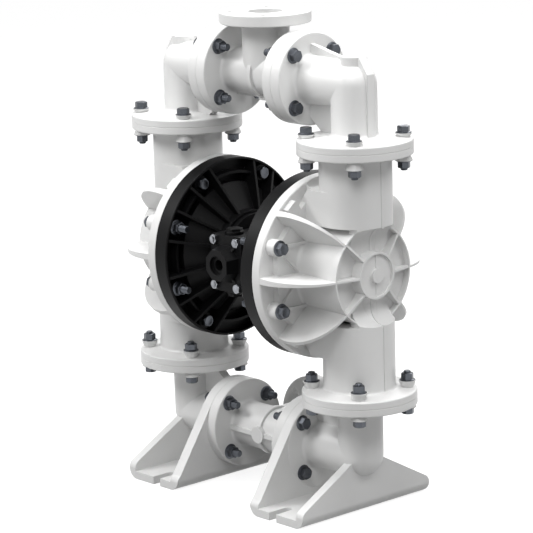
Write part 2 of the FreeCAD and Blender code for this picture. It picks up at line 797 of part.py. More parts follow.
def column_half():
    """The upper half of a fluid cap's column, from the dome to the seam."""
    return joined("cap_column", column_flange("cap_flange", "upper_seam_z", -1, "cap_seat_thick") + [
        rod("cap_tube", "column_tube_r", "seam_rise - column_end_rise",
            ("column_x", "0", "axis_height + column_end_rise")),
        root_fillet("cap_tube_root", "column_tube_r",
                    ("column_x", "0", "upper_seam_z - column_flange_thick - column_flange_crown / 2"), DOWN),
        block("cap_parting", "parting_rise + 4", "parting_thick", "seam_rise - column_end_rise - 20",
              ("column_x + column_tube_r - 4", "-parting_thick / 2", "axis_height + column_end_rise")),
        column_foot(),
        column_hollow(),
        column_ramp(),
    ])


def column_bores():
    return joined("cap_column_bores", column_holes("cap_hole", "upper_seam_z", -1, "cap_seat_thick") + [
        rod("cap_chamber", "column_bore_r", "seam_rise - shoulder_rise + 2",
            ("column_x", "0", "axis_height + shoulder_rise")),
        rod("cap_throat", "throat_r", "shoulder_rise - column_end_rise",
            ("column_x", "0", "axis_height + column_end_rise + 8")),
        ball("cap_throat_root", "throat_r",
             ("wheel_floor_x - dome_wall - throat_r", "0", "axis_height + column_end_rise - 6")),
    ])


def wheel():
    """The hub and its spokes on the outer face of the dome."""
    on_axis = ("0", "0", "axis_height")
    hub = turned("wheel_hub", [
        ("0", "wheel_floor_x - 2"),
        ("hub_r", "wheel_floor_x - 2"),
        ("hub_r", "hub_x"),
        ("hub_r - spoke_thick", "hub_x"),
        ("hub_r - spoke_thick", "hub_x - hub_recess"),
        ("hub_boss_r", "hub_x - hub_recess"),
        ("hub_boss_r", "hub_x + 3"),
        ("0", "hub_x + 3"),
    ], on_axis, ALONG_X)
    line = block("hub_line", "parting_rise + 2", "parting_thick / 2", "2 * hub_r - spoke_thick",
                 ("hub_x - hub_recess - 2", "-parting_thick / 4", "axis_height - hub_r + spoke_thick / 2"))
    spokes = [plate(f"wheel_spoke_{index}", [
        ("wheel_floor_x - 2", "hub_r - 2"),
        ("hub_x - 1", "hub_r - 2"),
        ("wheel_x - 1", "wheel_r - 2"),
        ("wheel_floor_x - 2", "wheel_r - 2"),
    ], "spoke_thick", on_axis, about_x(45 * index)) for index in SPOKE_PLACES]
    return [hub, line] + spokes


def rim_strut(name, angle, lean):
    """A brace in the disc's plane, from a rim bolt's boss to the dome."""
    reach = "(rim_circle_r - dome_r + dome_wall - 3) / cos(strut_angle)"
    return plate(name, [
        ("cap_face_x - 2", "0"),
        ("cap_face_x + rim_boss_length - strut_drop", "0"),
        ("cap_face_x + rim_boss_length - strut_drop", reach),
        ("cap_face_x - 2", reach),
    ], "strut_thick", ("0", f"rim_circle_r * cos({angle})", f"axis_height + rim_circle_r * sin({angle})"),
        about_x(angle + 90 + lean * number("strut_angle")))


def rim_pad(name, angle):
    return plate(name, [
        ("joint_x + 5", "rim_circle_r - rim_pad_size / 2"),
        ("step_x", "rim_circle_r - rim_pad_size / 2"),
        ("step_x", "rim_circle_r + rim_pad_size / 2"),
        ("joint_x + 5", "rim_circle_r + rim_pad_size / 2"),
    ], "rim_pad_size", ("0", "0", "axis_height"), about_x(angle - 90))


def four_ways(angle):
    """The angle and its mirror images across both planes through the axis."""
    return [angle, 180 - angle, 180 + angle, 360 - angle]


def fluid_cap():
    on_axis = ("0", "0", "axis_height")
    through = four_ways(number("rim_low_angle"))
    blind = four_ways(number("rim_high_angle"))
    shell = turned("cap_shell", [
        ("0", "joint_x"),
        ("disc_r - seam_break", "joint_x"),
        ("disc_r", "joint_x + seam_break"),
        ("disc_r", "cap_face_x - flange_edge_r"),
        ("disc_r - flange_edge_r", "cap_face_x", "flange_edge_r"),
        ("dome_r + dome_fillet_r", "cap_face_x"),
        ("dome_r + dome_fillet_r", "step_x"),
        ("dome_r", "step_x + dome_fillet_r", "dome_fillet_r", "inward"),
        ("wheel_r", "wheel_x"),
        ("wheel_r - wheel_rim_thick", "wheel_x"),
        ("wheel_r - wheel_rim_thick", "wheel_floor_x"),
        ("0", "wheel_floor_x"),
    ], on_axis, ALONG_X)
    gap = block("wheel_gap", "wheel_depth + 10", "2 * wheel_gap_half", "2 * wheel_r + 20",
                ("wheel_floor_x", "-wheel_gap_half", "axis_height - wheel_r - 10"))
    step = doc.addObject("Part::Prism", "cap_step")
    step.Polygon = 8
    bind(step, {"Circumradius": "rim_circle_r - step_inset", "Height": "step_rise + 4"})
    place(step, ("cap_face_x - 4", "0", "axis_height"), ALONG_X.multiply(EIGHTH))
    column = column_half()
    pieces = [cut("cap_open_shell", shell, [gap]), step, column,
              mirror("cap_lower_column", column, (0, 0, 1), on_axis)] + wheel()
    for side in (-90, 90):
        for lean in (-1, 0, 1):
            pieces.append(fin(f"cap_fin_{side + 90}_{lean + 1}", side + lean * number("fin_angle")))
    pieces += ring_of("cap_boss", "rim_circle_r", through, lambda label, across, up: rod(
        label, "rim_boss_r", "rim_boss_length + fluid_rim_thick",
        ("joint_x", across, "axis_height + " + up), ALONG_X))
    for index, angle in enumerate(through):
        for lean in (-1, 1):
            pieces.append(rim_strut(f"cap_strut_{index}_{lean + 1}", angle, lean))
    for index, angle in enumerate(four_ways(number("rim_pad_angle"))):
        pieces.append(rim_pad(f"cap_pad_{index}", angle))
    cavity = turned("cap_cavity", [
        ("0", "joint_x - 2"),
        ("diaphragm_r", "joint_x - 2"),
        ("diaphragm_r", "plate_face_x"),
        ("clamp_r + 1", "plate_face_x"),
        ("clamp_r - 4", "step_x - dome_wall"),
        ("dome_r - dome_wall", "step_x - dome_wall"),
        ("dome_r - dome_wall", "wheel_floor_x - dome_wall"),
        ("0", "wheel_floor_x - dome_wall"),
    ], on_axis, ALONG_X)
    bores = column_bores()
    tools = [cavity, bores, mirror("cap_lower_bores", bores, (0, 0, 1), on_axis)]
    tools += ring_of("cap_rim_hole", "rim_circle_r", through, lambda label, across, up: rod(
        label, "bolt_hole_r", "rim_boss_length + fluid_rim_thick + 4",
        ("joint_x - 2", across, "axis_height + " + up), ALONG_X))
    tools += ring_of("cap_screw_hole", "rim_circle_r", blind, lambda label, across, up: rod(
        label, "bolt_r + thread_fit", "fluid_rim_thick - screw_thread_gap + 2",
        ("joint_x - 2", across, "axis_height + " + up), ALONG_X))
    return cut("cap_blank", joined("cap_solid", pieces), tools)


# Air side

def air_rib(name, angle):
    return plate(name, [
        ("air_hub_x + 3", "air_hub_r - 4"),
        ("air_cone_inner_x + 3", "air_hub_r - 4"),
        ("air_cone_x + 4", "air_cone_r - 2"),
        ("air_plate_x + 4", "air_cone_r - 2"),
        ("air_plate_x + 4", "disc_r - air_lip_thick + 1"),
        ("air_rib_outer_x", "disc_r - air_lip_thick + 1"),
    ], "air_rib_thick", ("0", "0", "axis_height"), about_x(angle - 90))


def air_cap():
    on_axis = ("0", "0", "axis_height")
    bolts = four_ways(number("rim_low_angle")) + four_ways(number("rim_high_angle"))
    shell = turned("air_shell", [
        ("air_hub_bore_r", "air_hub_x"),
        ("air_hub_r", "air_hub_x"),
        ("air_hub_r", "air_cone_inner_x"),
        ("air_cone_r", "air_cone_x"),
        ("air_cone_r", "air_plate_x"),
        ("disc_r - air_lip_thick", "air_plate_x"),
        ("disc_r - air_lip_thick", "air_lip_x"),
        ("disc_r - flange_edge_r", "air_lip_x"),
        ("disc_r", "air_lip_x + flange_edge_r", "flange_edge_r"),
        ("disc_r", "joint_x - seam_break"),
        ("disc_r - seam_break", "joint_x"),
        ("diaphragm_r", "joint_x"),
        ("diaphragm_r", "plate_back_x"),
        ("clamp_r + 1", "plate_back_x"),
        ("air_cone_r - air_wall - 2", "air_cone_x + air_wall"),
        ("air_hub_r - 4", "air_cone_inner_x + air_wall"),
        ("air_hub_bore_r", "air_cone_inner_x + air_wall"),
    ], on_axis, ALONG_X)
    pieces = [shell]
    for row, start in enumerate(AIR_RIB_ANGLES):
        for column, angle in enumerate(four_ways(start)):
            pieces.append(air_rib(f"air_rib_{row}_{column}", angle))
    pieces += ring_of("air_boss", "rim_circle_r", bolts, lambda label, across, up: rod(
        label, "washer_r + 1", "air_plate_x + 2 - air_nut_seat_x",
        ("air_nut_seat_x", across, "axis_height + " + up), ALONG_X))
    low, inner, outer, high = AIR_RIB_ANGLES
    spans = [(-low, low), (180 - low, 180 + low), (high, 180 - high), (180 + high, 360 - high)]
    spans += [(inner, outer), (180 - outer, 180 - inner), (180 + inner, 180 + outer), (-outer, -inner)]
    for index, (first, last) in enumerate(spans):
        pieces.append(sector(f"air_arc_{index}", "air_arc_rib_r - air_rib_thick / 2",
                             "air_arc_rib_r + air_rib_thick / 2", "air_plate_x + 2 - air_arc_rib_x",
                             ("air_arc_rib_x", "0", "axis_height"), first, last))
    tools = ring_of("air_rim_hole", "rim_circle_r", bolts, lambda label, across, up: rod(
        label, "bolt_hole_r", "joint_x - air_nut_seat_x + 4",
        ("air_nut_seat_x - 2", across, "axis_height + " + up), ALONG_X))
    tools.append(rod("air_pilot_hole", "pilot_r + 1", "air_cone_inner_x + air_wall - air_hub_x + 4",
                     ("air_hub_x - 2", "0", "axis_height + pilot_rise"), ALONG_X))
    return cut("air_blank", joined("air_solid", pieces), tools)


def centre_body():
    ends = ("-air_hub_x", "0", "axis_height")
    front = ("-centre_block_x", "-centre_front_y", "axis_height - centre_block_z")
    rear = ("-centre_block_x", "0", "axis_height - centre_rear_z")
    solid = joined("centre_solid", [
        rod("centre_barrel", "centre_barrel_r", "2 * air_hub_x", ends, ALONG_X),
        rod("centre_left_flange", "air_hub_r - 6", "centre_flange_thick", ends, ALONG_X),
        rod("centre_right_flange", "air_hub_r - 6", "centre_flange_thick",
            ("air_hub_x - centre_flange_thick", "0", "axis_height"), ALONG_X),
        block("centre_front", "2 * centre_block_x", "centre_front_y", "2 * centre_block_z", front),
        block("centre_rear", "2 * centre_block_x", "centre_front_y", "2 * centre_rear_z", rear),
    ])
    bush_r = "rod_r + bush_wall"
    pilot_z = "axis_height + pilot_rise"
    tools = [
        rod("centre_relief", "rod_r + 2", "2 * air_hub_x + 4", ("-air_hub_x - 2", "0", "axis_height"), ALONG_X),
        rod("centre_left_seat", bush_r, "bush_length + 2", ("-air_hub_x - 2", "0", "axis_height"), ALONG_X),
        rod("centre_right_seat", bush_r, "bush_length + 2",
            ("air_hub_x - bush_length", "0", "axis_height"), ALONG_X),
        rod("centre_pilot_bore", "pilot_r + spool_fit", "2 * air_hub_x + 4",
            ("-air_hub_x - 2", "0", pilot_z), ALONG_X),
        rod("centre_pilot_stop", "pilot_collar_r + 1", "pilot_collar_thick + 2 * (pilot_travel + stop_gap)",
            ("-pilot_collar_thick / 2 - pilot_travel - stop_gap", "0", pilot_z), ALONG_X),
        rod("centre_exhaust", "exhaust_thread_r", "exhaust_thread_length + 2",
            ("0", "centre_front_y - exhaust_thread_length", "axis_height"), ALONG_Y),
        rod("centre_exhaust_way", "air_way_r", "centre_front_y / 2", ("0", "rod_r + 8", "axis_height"), ALONG_Y),
    ]
    tools += screw_places("centre_thread", "screw_r + thread_fit", "screw_depth + 2", "centre_front_y + 2")
    return cut("centre_blank", solid, tools)


def screw_places(name, radius, length, front_y):
    """Rods along +Y at the four valve body screws."""
    spots = []
    for index, (left, low) in enumerate(((-1, -1), (1, -1), (1, 1), (-1, 1))):
        at = (f"{left} * valve_screw_x", f"-({front_y})", f"axis_height + {low} * valve_screw_z")
        spots.append(rod(f"{name}_{index}", radius, length, at, ALONG_Y))
    return spots


def valve_rib(name, angle):
    """A rib from the inlet boss towards a corner screw."""
    turn = TO_FRONT.multiply(FreeCAD.Rotation(FreeCAD.Vector(0, 0, 1), angle))
    return plate(name, [
        ("inlet_tip_r - 4", "valve_face_y - 2"),
        ("inlet_boss_r + 10", "valve_face_y - 2"),
        ("inlet_tip_r - 4", "valve_face_y + valve_rib_rise"),
    ], "valve_rib_thick", ("0", "0", "axis_height"), turn)


def air_valve_body():
    """The main air valve's housing, with the eight-sided inlet boss on its front."""
    turn = TO_FRONT.multiply(EIGHTH)
    housing = plate("valve_housing", [
        ("valve_chamfer - valve_half_x", "-valve_half_z"),
        ("valve_half_x - valve_chamfer", "-valve_half_z"),
        ("valve_half_x", "valve_chamfer - valve_half_z"),
        ("valve_half_x", "valve_half_z - valve_chamfer"),
        ("valve_half_x - valve_chamfer", "valve_half_z"),
        ("valve_chamfer - valve_half_x", "valve_half_z"),
        ("-valve_half_x", "valve_half_z - valve_chamfer"),
        ("-valve_half_x", "valve_chamfer - valve_half_z"),
    ], "valve_face_y - centre_front_y", ("0", "-(valve_face_y + centre_front_y) / 2", "axis_height"))
    boss = loft("inlet_boss", [
        octagon("inlet_root", "inlet_boss_r", ("0", "2 - valve_face_y", "axis_height"), turn),
        octagon("inlet_tip", "inlet_tip_r", ("0", "-inlet_tip_y", "axis_height"), turn),
    ])
    lean = math.degrees(math.atan2(number("valve_screw_z"), number("valve_screw_x")))
    ribs = [valve_rib(f"valve_rib_{index}", angle) for index, angle in enumerate(four_ways(lean))]
    thread_y = "inlet_tip_y - inlet_mouth_depth"
    tools = [
        rod("spool_bore", "spool_r + spool_fit", "2 * valve_half_z + 4",
            ("0", "-spool_y", "axis_height - valve_half_z - 2")),
        rod("inlet_mouth", "inlet_mouth_r", "inlet_mouth_depth + 2",
            ("0", "-inlet_tip_y - 2", "axis_height"), ALONG_Y),
        rod("inlet_thread", "inlet_thread_r", "inlet_thread_length + 1",
            ("0", f"-({thread_y}) - 1", "axis_height"), ALONG_Y),
        rod("inlet_way", "air_way_r", "inlet_tip_y - spool_y", ("0", "-inlet_tip_y", "axis_height"), ALONG_Y),
    ]
    tools += screw_places("valve_hole", "screw_r + 0.5", "valve_face_y - centre_front_y + 4", "valve_face_y + 2")
    return cut("valve_blank", joined("valve_solid", [housing, boss] + ribs), tools)


def valve_end_caps():
    top = joined("valve_cap_top", [
        rod("valve_cap_plate", "valve_cap_r", "valve_cap_thick / 2", ("0", "-spool_y", "axis_height + valve_half_z")),
        hexagon("valve_cap_hex", "1.5 * valve_cap_r", "valve_cap_thick",
                ("0", "-spool_y", "axis_height + valve_half_z")),
    ])
    return group("valve_caps", [top, mirror("valve_cap_bottom", top, (0, 0, 1), ("0", "0", "axis_height"))])


def valve_spool():
    """Three lands on a thinner stem."""
    land = "spool_land_length"
    stem = "spool_r - 6"
    half = [
        (stem, land + " / 2"),
        (stem, "spool_half_length - " + land),
        ("spool_r", "spool_half_length - " + land),
        ("spool_r", "spool_half_length"),
        ("0", "spool_half_length"),
    ]
    upper = [("spool_r", land + " / 2")] + half
    lower = [(radius, f"-({height})") for radius, height in reversed(upper)]
    return turned("spool", lower + upper, ("0", "-spool_y", "axis_height"))


def pilot_spool():
    return turned("pilot", [
        ("0", "-pilot_half_length"),
        ("pilot_r", "-pilot_half_length"),
        ("pilot_r", "-pilot_collar_thick / 2"),
        ("pilot_collar_r", "-pilot_collar_thick / 2"),
        ("pilot_collar_r", "pilot_collar_thick / 2"),
        ("pilot_r", "pilot_collar_thick / 2"),
        ("pilot_r", "pilot_half_length"),
        ("0", "pilot_half_length"),
    ], ("0", "0", "axis_height + pilot_rise"), ALONG_X)


def muffler():
    """A finned silencer screwed into the exhaust port behind the pump."""
    rings = []
    for index in range(MUFFLER_RINGS):
        start = f"muffler_collar + {index} * muffler_pitch"
        rings += [
            ("muffler_r", start),
            ("muffler_r", f"{start} + muffler_pitch / 2"),
            ("muffler_r - 3", f"{start} + muffler_pitch / 2"),
            ("muffler_r - 3", f"{start} + muffler_pitch"),
        ]
    end = f"muffler_collar + {MUFFLER_RINGS} * muffler_pitch"
    return turned("muffler_solid", [
        ("0", "2 - exhaust_thread_length"),
        ("exhaust_thread_r - thread_fit", "2 - exhaust_thread_length"),
        ("exhaust_thread_r - thread_fit", "0"),
        ("muffler_r - 8", "0"),
        ("muffler_r - 8", "muffler_collar"),
    ] + rings + [
        ("muffler_r", end),
        ("muffler_r", end + " + 4"),
        ("muffler_r - 5", end + " + 9"),
        ("0", end + " + 9"),
    ], ("0", "centre_front_y", "axis_height"), ALONG_Y)


# Drive

def tube(name, inner_r, outer_r, length, at, turn):
    outer = rod(name + "_outer", outer_r, length, at, turn)
    inner = rod(name + "_inner", inner_r, length, at, turn)
    return cut(name, outer, [inner])


def rod_bush():
    return tube("bush", "rod_r + rod_bore_clearance", "rod_r + bush_wall", "bush_length",
                ("air_hub_x - bush_length", "0", "axis_height"), ALONG_X)


def connecting_rod():
    shoulder = "plate_back_x - plate_thick"
    tip = "plate_face_x + plate_thick + rod_nut_thick + 2"
    return joined("rod_solid", [
        rod("rod_shaft", "rod_r", f"2 * ({shoulder})", (f"-({shoulder})", "0", "axis_height"), ALONG_X),
        rod("rod_ends", "rod_neck_r", f"2 * ({tip})", (f"-({tip})", "0", "axis_height"), ALONG_X),
    ])


def clamp_plate(name, face_x, away):
    """A dished round plate against the diaphragm. It grows away from it towards +X, or -X where away is -1."""
    turn = ALONG_X if away > 0 else TO_LEFT
    return turned(name, [
        ("rod_neck_r + thread_fit", "0"),
        ("plate_r - 4", "0"),
        ("plate_r", "4", "4"),
        ("plate_r", "5"),
        ("rod_nut_r + 14", "plate_thick"),
        ("rod_neck_r + thread_fit", "plate_thick"),
    ], (face_x, "0", "axis_height"), turn)


def diaphragm():
    """A rubber disc with one rolling arch between the clamp plates and the clamped rim."""
    return turned("diaphragm_solid", [
        ("rod_neck_r + thread_fit", "plate_back_x"),
        ("arch_mid_r - arch_inside", "plate_back_x"),
        ("arch_mid_r + arch_inside", "plate_back_x", "arch_r - diaphragm_thick", "inward"),
        ("diaphragm_r", "plate_back_x"),
        ("diaphragm_r", "plate_face_x"),
        ("arch_outer_r", "plate_face_x"),
        ("arch_inner_r", "plate_face_x", "arch_r"),
        ("rod_neck_r + thread_fit", "plate_face_x"),
    ], ("0", "0", "axis_height"), ALONG_X)


def rod_end_nut():
    at = ("plate_face_x + plate_thick", "0", "axis_height")
    nut = hexagon("rod_nut_hex", "rod_nut_r * sqrt(3)", "rod_nut_thick", at, ALONG_X)
    return cut("rod_nut", nut, [rod("rod_nut_bore", "rod_neck_r + thread_fit", "rod_nut_thick", at, ALONG_X)])


# Check valves

def valve_seat(name, seat_z):
    return tube(name, "seat_bore_r", "cage_r", "seat_thick", ("column_x", "0", seat_z), ALONG_Z)


def ball_cage(name, seat_z):
    """An open sleeve with four guide ribs and a cross-shaped stop over the ball."""
    floor_z = f"{seat_z} + seat_thick"
    at = ("column_x", "0", floor_z)
    reach = "cage_r - cage_wall / 2"
    sleeve = tube(name + "_sleeve", "cage_r - cage_wall", "cage_r", "cage_height", at, ALONG_Z)
    bars = joined(name + "_bars", [
        block(name + "_bar_x", f"2 * ({reach})", "cage_rib_thick", "cage_height",
              (f"column_x - ({reach})", "-cage_rib_thick / 2", floor_z)),
        block(name + "_bar_y", "cage_rib_thick", f"2 * ({reach})", "cage_height",
              ("column_x - cage_rib_thick / 2", f"-({reach})", floor_z)),
    ])
    ball_way = rod(name + "_way", "ball_r + cage_rib_gap", "cage_height - cage_bar_thick", at)
    return joined(name + "_solid", [sleeve, cut(name + "_ribs", bars, [ball_way])])


def check_ball(name, seat_z):
    return ball(name, "ball_r", ("column_x", "0", f"{seat_z} + seat_thick + ball_seat_rise"))


# Fasteners

def flange_bolt(name, grip, at, turn):
    """A hex flange bolt: its head's seat is at the given place, its shank points down its own Z axis."""
    return place(joined(name, [
        rod(name + "_shank", "bolt_r", f"{grip} + washer_thick", ("0", "0", f"-({grip})")),
        rod(name + "_washer", "washer_r", "washer_thick"),
        hexagon(name + "_head", "head_flats", "washer_thick + head_thick"),
    ]), at, turn)


def flange_nut(name, at, turn):
    """A hex flange nut: its seat is at the given place and it rises along its own Z axis."""
    solid = joined(name + "_solid", [
        rod(name + "_washer", "washer_r", "washer_thick"),
        hexagon(name + "_hex", "head_flats", "washer_thick + nut_thick"),
    ])
    bore = rod(name + "_bore", "bolt_r + thread_fit", "washer_thick + nut_thick")
    return place(cut(name, solid, [bore]), at, turn)


def column_fasteners():
    across = "column_circle_r * cos(45)"
    x = "column_x + " + across
    nut_stack = "washer_thick + nut_thick"
    bolt = flange_bolt("column_bolt", f"elbow_seat_thick + cap_seat_thick + {nut_stack} + column_tip",
                       (x, across, "upper_seam_z + elbow_seat_thick"), ALONG_Z)
    nut = flange_nut("column_nut", (x, across, "upper_seam_z - cap_seat_thick"), DOWN)
    planes = [((0, 1, 0), ORIGIN), ((1, 0, 0), ("column_x", "0", "0")), ((1, 0, 0), ORIGIN)]
    for kind, piece in (("bolts", bolt), ("nuts", nut)):
        upper = with_mirrors("column_" + kind, piece, planes)
        keep(f"column_{kind}_upper", upper)
        keep(f"column_{kind}_lower", mirror(f"column_{kind}_low", upper, (0, 0, 1), ("0", "0", "axis_height")))


def manifold_fasteners():
    across = "side_circle_r * cos(45)"
    z = "top_manifold_z + " + across
    nut_stack = "washer_thick + nut_thick"
    bolt = flange_bolt("side_bolt", f"2 * side_flange_thick + {nut_stack} + manifold_tip",
                       ("manifold_seam_x + side_flange_thick", across, z), ALONG_X)
    nut = flange_nut("side_nut", ("manifold_seam_x - side_flange_thick", across, z), TO_LEFT)
    planes = [((0, 1, 0), ORIGIN), ((0, 0, 1), ("0", "0", "top_manifold_z")), ((1, 0, 0), ORIGIN)]
    for kind, piece in (("bolts", bolt), ("nuts", nut)):
        upper = with_mirrors("side_" + kind, piece, planes)
        keep(f"manifold_{kind}_upper", upper)
        keep(f"manifold_{kind}_lower", mirror(f"side_{kind}_low", upper, (0, 0, 1), ("0", "0", "axis_height")))


def rim_fasteners():
    planes = [((0, 1, 0), ORIGIN), ((0, 0, 1), ("0", "0", "axis_height")), ((1, 0, 0), ORIGIN)]
    low_y = "rim_circle_r * cos(rim_low_angle)"
    low_z = "axis_height + rim_circle_r * sin(rim_low_angle)"
    high_y = "rim_circle_r * cos(rim_high_angle)"
    high_z = "axis_height + rim_circle_r * sin(rim_high_angle)"
    seat_x = "cap_face_x + rim_boss_length"
    grip = f"{seat_x} - air_nut_seat_x + washer_thick + nut_thick + rim_tip"
    bolt = flange_bolt("rim_bolt", grip, (seat_x, low_y, low_z), ALONG_X)
    nut = flange_nut("rim_nut", ("air_nut_seat_x", low_y, low_z), TO_LEFT)
    depth = "joint_x - air_nut_seat_x + fluid_rim_thick - screw_thread_gap - 2"
    screw = place(joined("rim_screw", [
        rod("rim_screw_shank", "bolt_r", depth, ("0", "0", f"-({depth})")),
        hexagon("rim_screw_head", "head_flats", "head_thick"),
    ]), ("air_nut_seat_x", high_y, high_z), TO_LEFT)
    keep("rim_bolts", with_mirrors("rim_bolts_all", bolt, planes))
    keep("rim_nuts", with_mirrors("rim_nuts_all", nut, planes))
    keep("rim_cap_screws", with_mirrors("rim_screws_all", screw, planes))


def valve_body_screws():
    length = "valve_face_y - centre_front_y + screw_depth - 2"
    screw = place(joined("valve_screw", [
        rod("valve_screw_shank", "screw_r", length, ("0", "0", f"-({length})")),
        hexagon("valve_screw_head", "screw_head_flats", "screw_head_thick"),
    ]), ("valve_screw_x", "-valve_face_y", "axis_height + valve_screw_z"), TO_FRONT)
    planes = [((1, 0, 0), ORIGIN), ((0, 0, 1), ("0", "0", "axis_height"))]
    return with_mirrors("valve_screws", screw, planes)


def manifold_seals():
    ring = seal_ring("seal", "seal_r", ("manifold_seam_x", "0", "top_manifold_z"), ALONG_X)
    planes = [((1, 0, 0), ORIGIN), ((0, 0, 1), ("0", "0", "axis_height"))]
    return with_mirrors("seals", ring, planes)


def keep_pair(name, right):
    """The right-hand piece and its mirror image on the left."""
    keep(name + "_right", right)
    keep(name + "_left", mirror(name + "_left", right, (1, 0, 0)))


def build():
    fill_sheet()
    tees()
    core = elbow_core()
    bores = elbow_bores()
    keep_pair("discharge_elbow", discharge_elbow(core, bores))
    keep_pair("foot_elbow", foot_elbow(core, bores))
    keep_pair("fluid_cap", fluid_cap())
    keep_pair("air_cap", air_cap())
    keep("centre_body", centre_body())
    keep("air_valve_body", air_valve_body())
    keep("valve_end_caps", valve_end_caps())
    keep("valve_spool", valve_spool())
    keep("pilot_spool", pilot_spool())
    keep("muffler", muffler())
    keep_pair("rod_bush", rod_bush())
    keep("connecting_rod", connecting_rod())
    keep_pair("inner_plate", clamp_plate("inner_clamp", "plate_back_x", -1))
    keep_pair("outer_plate", clamp_plate("outer_clamp", "plate_face_x", 1))
    keep_pair("diaphragm", diaphragm())
    keep_pair("rod_end_nut", rod_end_nut())
    for stage in ("discharge", "suction"):
        seat_z = stage + "_seat_z"
        keep_pair(stage + "_seat", valve_seat(stage + "_valve_seat", seat_z))
        keep_pair(stage + "_cage", ball_cage(stage + "_ball_cage", seat_z))
        keep_pair(stage + "_ball", check_ball(stage + "_check_ball", seat_z))
    column_fasteners()
    manifold_fasteners()
    rim_fasteners()
    keep("valve_body_screws", valve_body_screws())
    keep("manifold_seals", manifold_seals())
    doc.recompute()


def check():
    """Stops the build if any object failed or any node's shape is empty or invalid."""
    for item in doc.Objects:
        if "Invalid" in item.State or "Error" in item.State:
            raise RuntimeError(f"{item.Name} failed: {item.State}")
    for name, item in nodes.items():
        if item.Shape.isNull() or not item.Shape.isValid() or not item.Shape.Solids:
            raise RuntimeError(f"{name} has no valid solid")


def write():
    os.makedirs("parts", exist_ok=True)
    for name, item in nodes.items():
        item.Shape.exportStep(f"parts/{name}.step")
    print(f"{len(nodes)} nodes written")


build()
check()
write()
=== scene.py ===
import bpy
import json
import math
from mathutils import Matrix, Vector


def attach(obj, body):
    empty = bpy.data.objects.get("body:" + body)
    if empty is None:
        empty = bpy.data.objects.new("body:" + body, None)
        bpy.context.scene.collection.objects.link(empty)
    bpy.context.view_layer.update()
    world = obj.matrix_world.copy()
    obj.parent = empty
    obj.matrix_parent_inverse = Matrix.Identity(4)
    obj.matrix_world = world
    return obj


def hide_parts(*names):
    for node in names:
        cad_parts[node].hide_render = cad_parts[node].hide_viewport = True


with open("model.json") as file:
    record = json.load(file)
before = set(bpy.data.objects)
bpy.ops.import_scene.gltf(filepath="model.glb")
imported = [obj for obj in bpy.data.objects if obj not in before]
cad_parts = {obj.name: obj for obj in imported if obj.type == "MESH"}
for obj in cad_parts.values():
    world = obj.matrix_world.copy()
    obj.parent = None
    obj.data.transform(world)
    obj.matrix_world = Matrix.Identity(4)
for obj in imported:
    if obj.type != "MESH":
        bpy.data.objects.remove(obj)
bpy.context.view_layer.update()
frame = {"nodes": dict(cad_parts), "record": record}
scene = bpy.context.scene


# Camera

PHOTO_WIDTH = 533.0
FOCAL_PIXELS = 2707.6
SENSOR_WIDTH = 36.0
CAMERA_PLACE = (4.3177, -3.9008, 1.794)
CAMERA_AZIMUTH = 48.019
CAMERA_PITCH = 12.536
CAMERA_ROLL = -0.02688
VIEW_END = 60.0


def add_camera():
    """The photograph's viewpoint, found from the flanges and the disc edges."""
    azimuth = math.radians(CAMERA_AZIMUTH)
    pitch = math.radians(CAMERA_PITCH)
    roll = CAMERA_ROLL
    level = math.cos(pitch)
    back = Vector((math.sin(azimuth) * level, -math.cos(azimuth) * level, math.sin(pitch)))
    right = Vector((math.cos(azimuth), math.sin(azimuth), 0.0))
    up = back.cross(right)
    rolled_right = right * math.cos(roll) + up * math.sin(roll)
    rolled_up = up * math.cos(roll) - right * math.sin(roll)
    data = bpy.data.cameras.new("photo_camera")
    data.sensor_width = SENSOR_WIDTH
    data.lens = SENSOR_WIDTH * FOCAL_PIXELS / PHOTO_WIDTH
    data.clip_end = VIEW_END
    camera = bpy.data.objects.new("photo_camera", data)
    turn = Matrix((rolled_right, rolled_up, back)).transposed()
    camera.matrix_world = Matrix.Translation(CAMERA_PLACE) @ turn.to_4x4()
    scene.collection.objects.link(camera)
    scene.camera = camera


# Materials

MOULDED_EDGE = 0.0015
MOULDED_GRAIN = 0.0001
METAL_EDGE = 0.0008
METAL_GRAIN = 0.00005
PLASTIC_IOR = 1.49


def new_material(name):
    material = bpy.data.materials.new(name)
    material.use_nodes = True
    return material, material.node_tree.nodes, material.node_tree.links


def noise(nodes, links, scale, detail, roughness=0.5):
    where = nodes.new("ShaderNodeTexCoord")
    texture = nodes.new("ShaderNodeTexNoise")
    texture.inputs["Scale"].default_value = scale
    texture.inputs["Detail"].default_value = detail
    texture.inputs["Roughness"].default_value = roughness
    links.new(where.outputs["Object"], texture.inputs["Vector"])
    return texture.outputs["Fac"]


def ramp(nodes, links, value, stops):
    item = nodes.new("ShaderNodeValToRGB")
    while len(item.color_ramp.elements) < len(stops):
        item.color_ramp.elements.new(0.5)
    for element, (place, colour) in zip(item.color_ramp.elements, stops):
        element.position = place
        element.color = (*colour, 1.0)
    links.new(value, item.inputs["Fac"])
    return item.outputs["Color"]


def spread(nodes, links, value, low, high):
    item = nodes.new("ShaderNodeMapRange")
    item.inputs["To Min"].default_value = low
    item.inputs["To Max"].default_value = high
    links.new(value, item.inputs["Value"])
    return item.outputs["Result"]


def soft_edges(nodes, links, shader, radius, height, strength, depth):
    """A rounded look at sharp edges, with a fine surface grain under it."""
    edge = nodes.new("ShaderNodeBevel")
    edge.samples = 6
    edge.inputs["Radius"].default_value = radius
    bump = nodes.new("ShaderNodeBump")
    bump.inputs["Strength"].default_value = strength
    bump.inputs["Distance"].default_value = depth
    links.new(height, bump.inputs["Height"])
    links.new(edge.outputs["Normal"], bump.inputs["Normal"])
    links.new(bump.outputs["Normal"], shader.inputs["Normal"])


